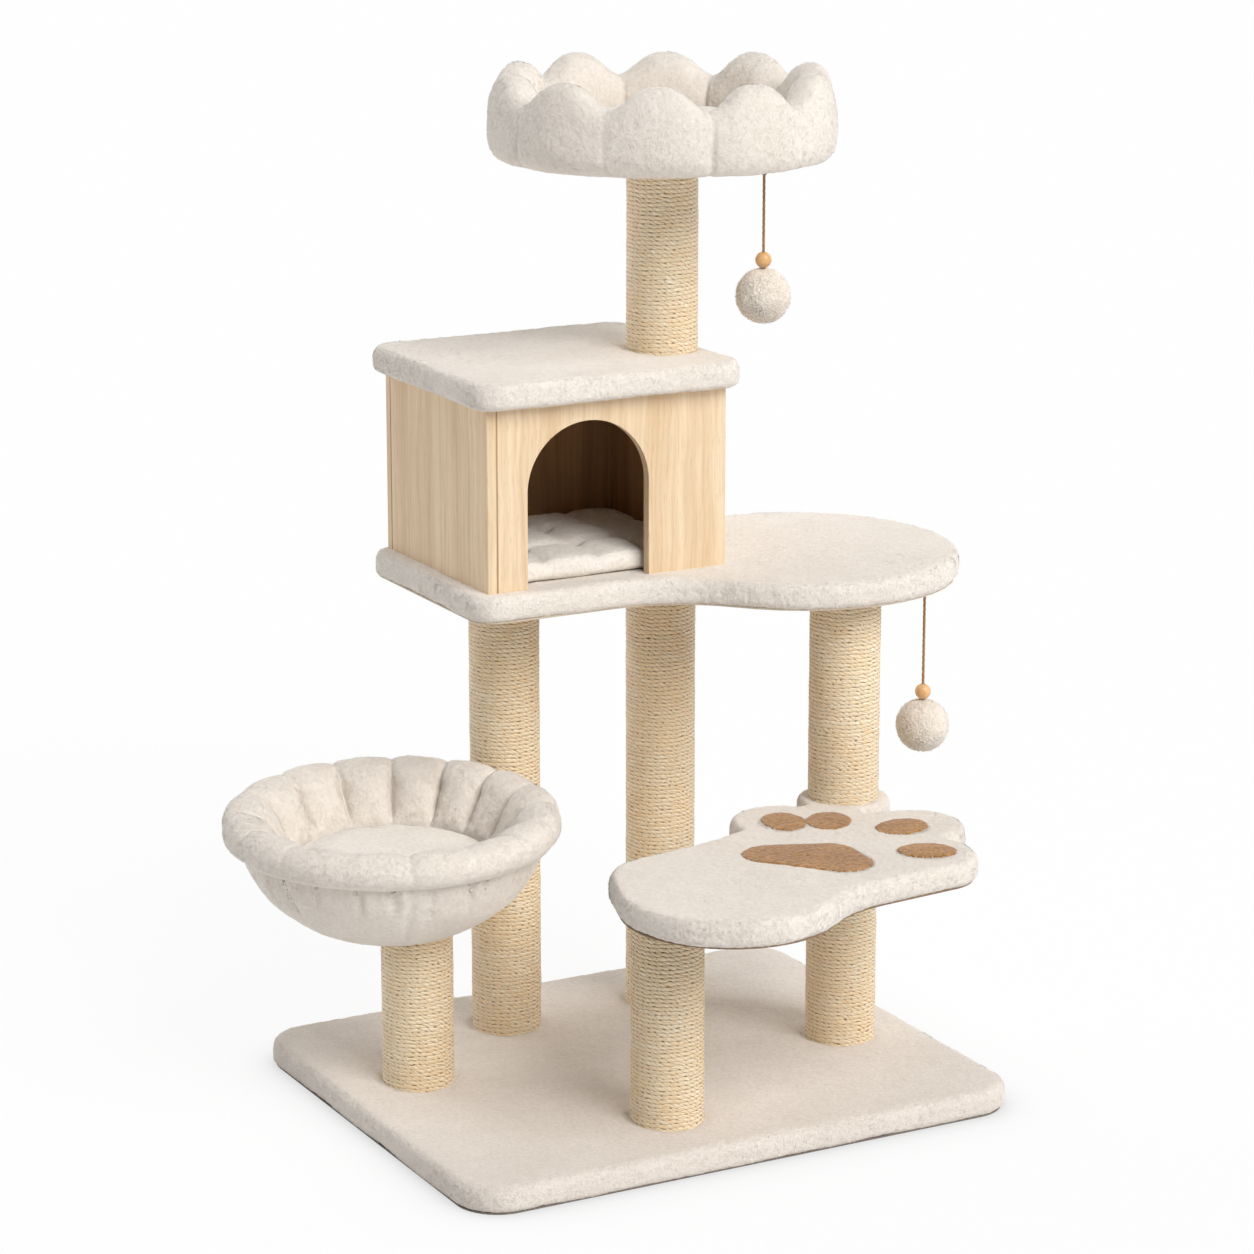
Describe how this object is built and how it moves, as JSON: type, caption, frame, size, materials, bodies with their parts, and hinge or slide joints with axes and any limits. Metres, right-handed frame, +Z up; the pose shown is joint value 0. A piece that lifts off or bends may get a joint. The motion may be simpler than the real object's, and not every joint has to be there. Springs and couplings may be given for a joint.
{
  "type": "cat tree",
  "caption": "Floor standing cat tree with rope wound posts, a hammock basket, a paw shaped step, a deck with a small wooden house and a scalloped bed on top.",
  "frame": {"origin": "centre of the base at the floor", "axes": "+Z up; +X to the right along the long front edge of the base; +Y from the front edge to the back, where the house stands"},
  "size_m": [0.8669, 0.6865, 1.12],
  "materials": {
    "felt": "thin needled felt",
    "base_plush": "short greige plush",
    "cream_plush": "short cream plush",
    "cushion_plush": "short cream plush, stuffed",
    "brown_plush": "short tan brown plush",
    "pompom_fluff": "off-white fluff",
    "sisal": "natural sisal rope, wound",
    "cardboard": "pressed paper",
    "particle_board": "raw board",
    "plug_wood": "raw wood",
    "light_wood": "light wood with a straight grain, matt",
    "bead_wood": "honey coloured, lightly waxed",
    "jute_cord": "twisted",
    "steel": "zinc plated"
  },
  "bodies": {
    "frame": {"base_backing": "felt", "base_board": "particle_board", "base_cover": "base_plush", "base_bolts": "steel", "basket_post_tube": "cardboard", "basket_post_rope": "sisal", "rear_left_post_tube": "cardboard", "rear_left_post_rope": "sisal", "rear_right_post_tube": "cardboard", "rear_right_post_rope": "sisal", "right_lower_post_tube": "cardboard", "right_lower_post_rope": "sisal", "right_upper_post_tube": "cardboard", "right_upper_post_rope": "sisal", "front_post_tube": "cardboard", "front_post_rope": "sisal", "bed_post_tube": "cardboard", "bed_post_rope": "sisal", "post_end_plugs": "plug_wood", "paw_backing": "felt", "paw_board": "particle_board", "paw_cover": "cream_plush", "paw_toe_pads": "brown_plush", "paw_palm_pad": "brown_plush", "paw_bolts": "steel", "deck_backing": "felt", "deck_board": "particle_board", "deck_cover": "cream_plush", "deck_bolts": "steel", "house_front_panel": "light_wood", "house_left_panel": "light_wood", "house_back_panel": "light_wood", "house_right_panel": "light_wood", "house_screws_in_deck": "steel", "house_cushion": "cushion_plush", "roof_board": "particle_board", "roof_cover": "cream_plush", "roof_braces": "steel", "roof_brace_screws": "steel", "bed_post_bolts": "steel", "bed_board": "particle_board", "bed_shell": "cream_plush", "bed_cushion": "cushion_plush", "basket_board": "particle_board", "basket_bowl": "cream_plush", "basket_lining": "cream_plush", "basket_rim": "cream_plush", "basket_hoop": "steel", "basket_cushion": "cushion_plush", "basket_bolt": "steel", "toy_staples": "steel"},
    "bed_toy_hanger": {"bed_toy_loop": "jute_cord"},
    "bed_toy": {"bed_toy_string": "jute_cord", "bed_toy_bead": "bead_wood", "bed_toy_pompom": "pompom_fluff"},
    "deck_toy_hanger": {"deck_toy_loop": "jute_cord"},
    "deck_toy": {"deck_toy_string": "jute_cord", "deck_toy_bead": "bead_wood", "deck_toy_pompom": "pompom_fluff"}
  },
  "joints": [
    {"name": "bed_toy_swing_out", "type": "hinge", "parent": "frame", "child": "bed_toy_hanger", "pos_m": [0.17232, 0.02168, 1.019], "axis": [-0.7071, -0.7071, 0], "range_deg": [-14, 60]},
    {"name": "bed_toy_swing_across", "type": "hinge", "parent": "bed_toy_hanger", "child": "bed_toy", "pos_m": [0.17232, 0.02168, 1.019], "axis": [0.7071, -0.7071, 0], "range_deg": [-45, 45]},
    {"name": "deck_toy_swing_out", "type": "hinge", "parent": "frame", "child": "deck_toy_hanger", "pos_m": [0.3648, -0.01588, 0.546], "axis": [0.225, -0.9744, 0], "range_deg": [-14, 60]},
    {"name": "deck_toy_swing_across", "type": "hinge", "parent": "deck_toy_hanger", "child": "deck_toy", "pos_m": [0.3648, -0.01588, 0.546], "axis": [0.9744, 0.225, 0], "range_deg": [-45, 45]}
  ]
}
